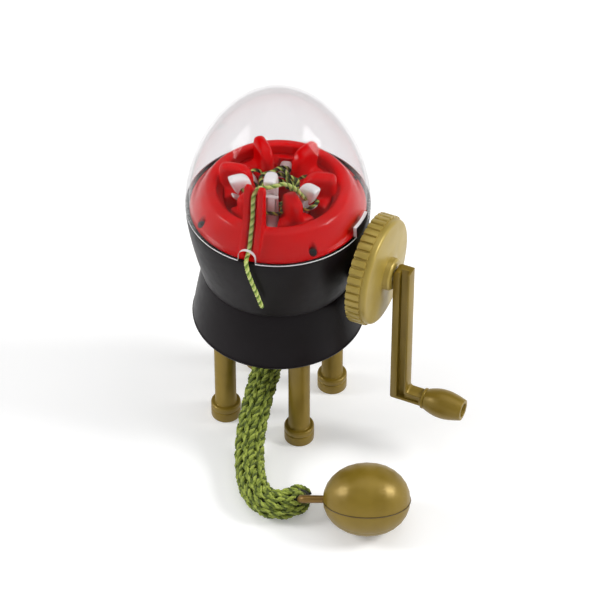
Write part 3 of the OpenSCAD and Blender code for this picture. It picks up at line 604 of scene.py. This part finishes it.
def clear_dome():
    """The dome's shell: the outer skin, the inner one and the flat rim between them."""
    outer = [(RIM_R, RIM_Z)]
    for i in range(1, DOME_ROWS):
        t = max(EDGE_H / DOME_H, 1 - (1 - (i - 1) / (DOME_ROWS - 1)) ** 2)
        outer.append((dome_radius(RIM_R, t), RIM_Z + DOME_H * t))
    inner = []
    for i in range(DOME_ROWS):
        t = 1 - (1 - i / DOME_ROWS) ** 2
        inner.append((dome_radius(RIM_R - DOME_WALL, t), RIM_Z + (DOME_H - DOME_WALL) * t))
    bm = bmesh.new()
    rings = []
    for r, z in outer + inner[::-1]:
        spots = [polar(r, 360 * j / DOME_AROUND, z) for j in range(DOME_AROUND)]
        rings.append([bm.verts.new(metres(p)) for p in spots])
    top = bm.verts.new((0, 0, (RIM_Z + DOME_H) * MM))
    under = bm.verts.new((0, 0, (RIM_Z + DOME_H - DOME_WALL) * MM))
    for i, a in enumerate(rings):
        b = rings[(i + 1) % len(rings)]
        for j in range(DOME_AROUND):
            k = (j + 1) % DOME_AROUND
            if i == DOME_ROWS - 1:
                bm.faces.new((a[j], a[k], top))
                bm.faces.new((b[k], b[j], under))
            else:
                bm.faces.new((a[j], a[k], b[k], b[j]))
    obj = bmesh_object("clear_dome", bm)
    obj.data.materials.append(clear)
    return obj


def cut_rim(obj, outline, angle):
    """Cuts a prism out of the rim at an angle. Its outline is sideways and height, and it runs outwards."""
    bm = bmesh.new()
    rows = []
    for r in (RIM_R - CUT_IN, RIM_R - CUT_IN + CUT_DEPTH):
        corners = turned([(r, s, z) for s, z in outline], angle)
        rows.append([bm.verts.new(metres(p)) for p in corners])
    for i in range(len(outline)):
        k = (i + 1) % len(outline)
        bm.faces.new((rows[0][i], rows[0][k], rows[1][k], rows[1][i]))
    bm.faces.new(rows[0][::-1])
    bm.faces.new(rows[1])
    tool = bmesh_object("cut_tool", bm)
    cut = obj.modifiers.new("cut", "BOOLEAN")
    cut.operation = "DIFFERENCE"
    cut.solver = "EXACT"
    cut.object = tool
    return tool


def settle(obj):
    """Applies an object's modifiers to its mesh."""
    bpy.context.view_layer.update()
    graph = bpy.context.evaluated_depsgraph_get()
    mesh = bpy.data.meshes.new_from_object(obj.evaluated_get(graph), depsgraph=graph)
    obj.modifiers.clear()
    obj.data = mesh


def edge_lit(mesh, mat):
    """Gives the faces of the rim and of the notches the look of a cut edge that gathers light."""
    mesh.materials.append(mat)
    for face in mesh.polygons:
        centre = face.center / MM
        if centre.z > RIM_Z + EDGE_REACH:
            continue
        outward = Vector((centre.x, centre.y, 0)).normalized()
        if centre.z < RIM_Z + EDGE_H or abs(face.normal.dot(outward)) < 0.6:
            face.material_index = 1


dome = clear_dome()
half = NOTCH_W / 2
below = RIM_Z - CUT_BELOW
arch = []
for degrees in range(0, 181, 15):
    a = math.radians(degrees)
    arch.append((half * math.cos(a), RIM_Z + NOTCH_H - half + half * math.sin(a)))
notch = cut_rim(dome, arch + [(-half, below), (half, below)], GUIDE_A)
half = KEY_W / 2
key_top = RIM_Z + KEY_H
key = cut_rim(dome, [(half, below), (half, key_top), (-half, key_top), (-half, below)], KEY_A)
settle(dome)
bpy.data.objects.remove(notch)
bpy.data.objects.remove(key)
dome.data.shade_smooth()
dome.data.set_sharp_from_angle(angle=math.radians(35))
edge_lit(dome.data, cut_edge)
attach(dome, "dome")
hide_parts("dome")

# CAD nodes that show as they are: softened edges, smooth shading and materials
SHARP_ANGLE = math.radians(32)
BEVEL_ANGLE = math.radians(38)
FLAT_ANGLE = math.radians(0.4)
WELD = 0.000002


def smooth_group():
    """Geometry nodes that shade smooth and keep the edges sharper than a limit."""
    group = bpy.data.node_groups.new("smooth_shading", "GeometryNodeTree")
    for way in ("INPUT", "OUTPUT"):
        group.interface.new_socket("Geometry", in_out=way, socket_type="NodeSocketGeometry")
    start = group.nodes.new("NodeGroupInput")
    end = group.nodes.new("NodeGroupOutput")
    faces = group.nodes.new("GeometryNodeSetShadeSmooth")
    edges = group.nodes.new("GeometryNodeSetShadeSmooth")
    edges.domain = "EDGE"
    edges.inputs["Shade Smooth"].default_value = False
    angle = group.nodes.new("GeometryNodeInputMeshEdgeAngle")
    test = group.nodes.new("FunctionNodeCompare")
    test.data_type = "FLOAT"
    test.operation = "GREATER_THAN"
    test.inputs[1].default_value = SHARP_ANGLE
    group.links.new(start.outputs[0], faces.inputs["Geometry"])
    group.links.new(faces.outputs["Geometry"], edges.inputs["Geometry"])
    group.links.new(angle.outputs["Unsigned Angle"], test.inputs[0])
    group.links.new(test.outputs["Result"], edges.inputs["Selection"])
    group.links.new(edges.outputs["Geometry"], end.inputs[0])
    return group


shading = smooth_group()


def paint(node, mat):
    """Gives a CAD node one material and joins its facets."""
    obj = nodes[node]
    obj.data.materials.clear()
    obj.data.materials.append(mat)
    if "custom_normal" in obj.data.attributes:
        obj.data.attributes.remove(obj.data.attributes["custom_normal"])
    weld = obj.modifiers.new("weld", "WELD")
    weld.merge_threshold = WELD
    return obj


def dress(node, mat, round_mm):
    """Shows a CAD node with a small round on its edges."""
    obj = paint(node, mat)
    flat = obj.modifiers.new("flat", "DECIMATE")
    flat.decimate_type = "DISSOLVE"
    flat.angle_limit = FLAT_ANGLE
    if round_mm:
        soft = obj.modifiers.new("soft", "BEVEL")
        soft.width = round_mm * MM
        soft.segments = 2
        soft.limit_method = "ANGLE"
        soft.angle_limit = BEVEL_ANGLE
        soft.miter_outer = "MITER_ARC"
    smooth = obj.modifiers.new("smooth", "NODES")
    smooth.node_group = shading


def melt(node, mat, grid_mm, rounds):
    """Softens a whole piece, as a moulding with full rounds on its edges."""
    obj = paint(node, mat)
    grid = obj.modifiers.new("grid", "REMESH")
    grid.mode = "VOXEL"
    grid.voxel_size = grid_mm * MM
    grid.use_smooth_shade = True
    soft = obj.modifiers.new("soft", "SMOOTH")
    soft.factor = 0.5
    soft.iterations = rounds


for name in ("body_shell", "base_skirt", "base_plate"):
    dress(name, black, 0.3)
for name in ("leg_front_left", "leg_front_right", "leg_back_left", "leg_back_right", "crank_grip"):
    dress(name, gold, 0.15)
dress("drive_wheel", wheel_gold_lit, 0.2)
dress("crank_arm", gold, 0.4)
dress("egg_upper", gold, 0.35)
dress("egg_lower", gold, 0.35)
dress("egg_hook", bronze, 0)
stout = nodes["egg_hook"].modifiers.new("stout", "DISPLACE")
stout.mid_level = 0.0
stout.strength = 0.55 * MM

melt("needle_cover", red, 0.4, 16)
dress("cam_ring", red, 0.2)
melt("needle_carrier", red, 0.5, 70)
for k in range(1, NEEDLES + 1):
    melt("needle_%d" % k, white, 0.35, 400)
    dress("latch_%d" % k, white, 0.25)
dress("crown_gear", white, 0.15)
dress("drive_pinion", white, 0.15)
dress("lower_bush", bush, 0.2)
dress("shaft_bush", bush, 0.2)
dress("cover_screws", dark_steel, 0.15)
for name in ("leg_screws", "plate_screws", "body_screws", "gear_screws", "crank_shaft", "grip_pin",
             "egg_ballast"):
    dress(name, steel, 0.15)

# Floor, world and soft studio light
FLOOR_SIZE = 4.0
FLOOR_Z = -0.0001
FLOOR_COLOUR = (0.86, 0.86, 0.86, 1)
FLOOR_GLOW = 0.22
WHITE = (1, 1, 1, 1)


def floor_material():
    """A matt white floor that keeps shadows, with a little glow for rays that see it."""
    mat = bpy.data.materials.new("white_floor")
    tree, out = empty_tree(mat, "ShaderNodeOutputMaterial")
    matt = tree.nodes.new("ShaderNodeBsdfDiffuse")
    matt.inputs["Color"].default_value = FLOOR_COLOUR
    glow = tree.nodes.new("ShaderNodeEmission")
    glow.inputs["Color"].default_value = WHITE
    path = tree.nodes.new("ShaderNodeLightPath")
    seen = math_node(tree, "MAXIMUM", path.outputs["Is Camera Ray"], path.outputs["Is Glossy Ray"])
    seen = math_node(tree, "MAXIMUM", seen, path.outputs["Is Transmission Ray"])
    tree.links.new(math_node(tree, "MULTIPLY", seen, FLOOR_GLOW), glow.inputs["Strength"])
    both = tree.nodes.new("ShaderNodeAddShader")
    tree.links.new(matt.outputs["BSDF"], both.inputs[0])
    tree.links.new(glow.outputs["Emission"], both.inputs[1])
    tree.links.new(both.outputs["Shader"], out.inputs["Surface"])
    return mat


floor_mesh = bpy.data.meshes.new("floor")
corners = [(-1, -1), (1, -1), (1, 1), (-1, 1)]
floor_mesh.from_pydata([(x * FLOOR_SIZE, y * FLOOR_SIZE, 0) for x, y in corners], [], [(0, 1, 2, 3)])
floor_mesh.materials.append(floor_material())
floor = place_object("floor", floor_mesh)
floor.location.z = FLOOR_Z

SKY_LIGHT = 0.24
WALL_GLOSS = 0.7
ROOF_GLOSS = -0.2
WALL_TOP = 0.3
ROOF_START = 0.6


def studio_world():
    """White to the camera, dim as light, and with bright walls and a dark roof in reflections."""
    world = bpy.data.worlds.new("studio")
    tree, out = empty_tree(world, "ShaderNodeOutputWorld")
    sky = tree.nodes.new("ShaderNodeBackground")
    sky.inputs["Color"].default_value = WHITE
    path = tree.nodes.new("ShaderNodeLightPath")
    coord = tree.nodes.new("ShaderNodeTexCoord")
    apart = tree.nodes.new("ShaderNodeSeparateXYZ")
    tree.links.new(coord.outputs["Generated"], apart.inputs[0])
    room = map_range(tree, apart.outputs["Z"], WALL_TOP, ROOF_START, WALL_GLOSS, ROOF_GLOSS)
    mirrored = math_node(tree, "MULTIPLY_ADD", path.outputs["Is Glossy Ray"], room, SKY_LIGHT)
    strength = math_node(tree, "MULTIPLY_ADD", path.outputs["Is Camera Ray"], 1.0 - SKY_LIGHT, mirrored)
    tree.links.new(strength, sky.inputs["Strength"])
    tree.links.new(sky.outputs["Background"], out.inputs["Surface"])
    return world


scene.world = studio_world()


def softbox(name, place, focus_z, wide, high, power):
    """A rectangular lamp that looks at a height on the object's axis."""
    light = bpy.data.lights.new(name, "AREA")
    light.shape = "RECTANGLE"
    light.size = wide
    light.size_y = high
    light.energy = power
    obj = place_object(name, light)
    obj.location = place
    aim(obj, Vector((0, 0, focus_z)) - Vector(place))


softbox("key_left", (-0.94, -0.5, 0.77), 0.1, 0.42, 0.5, 8.6)
softbox("fill_right", (0.97, 0.31, 0.84), 0.1, 0.42, 0.46, 10.3)
softbox("top", (0.0, 0.2, 1.5), 0.08, 1.4, 1.2, 6.6)
softbox("front", (0.36, -0.8, 1.1), 0.1, 1.2, 0.7, 1.5)
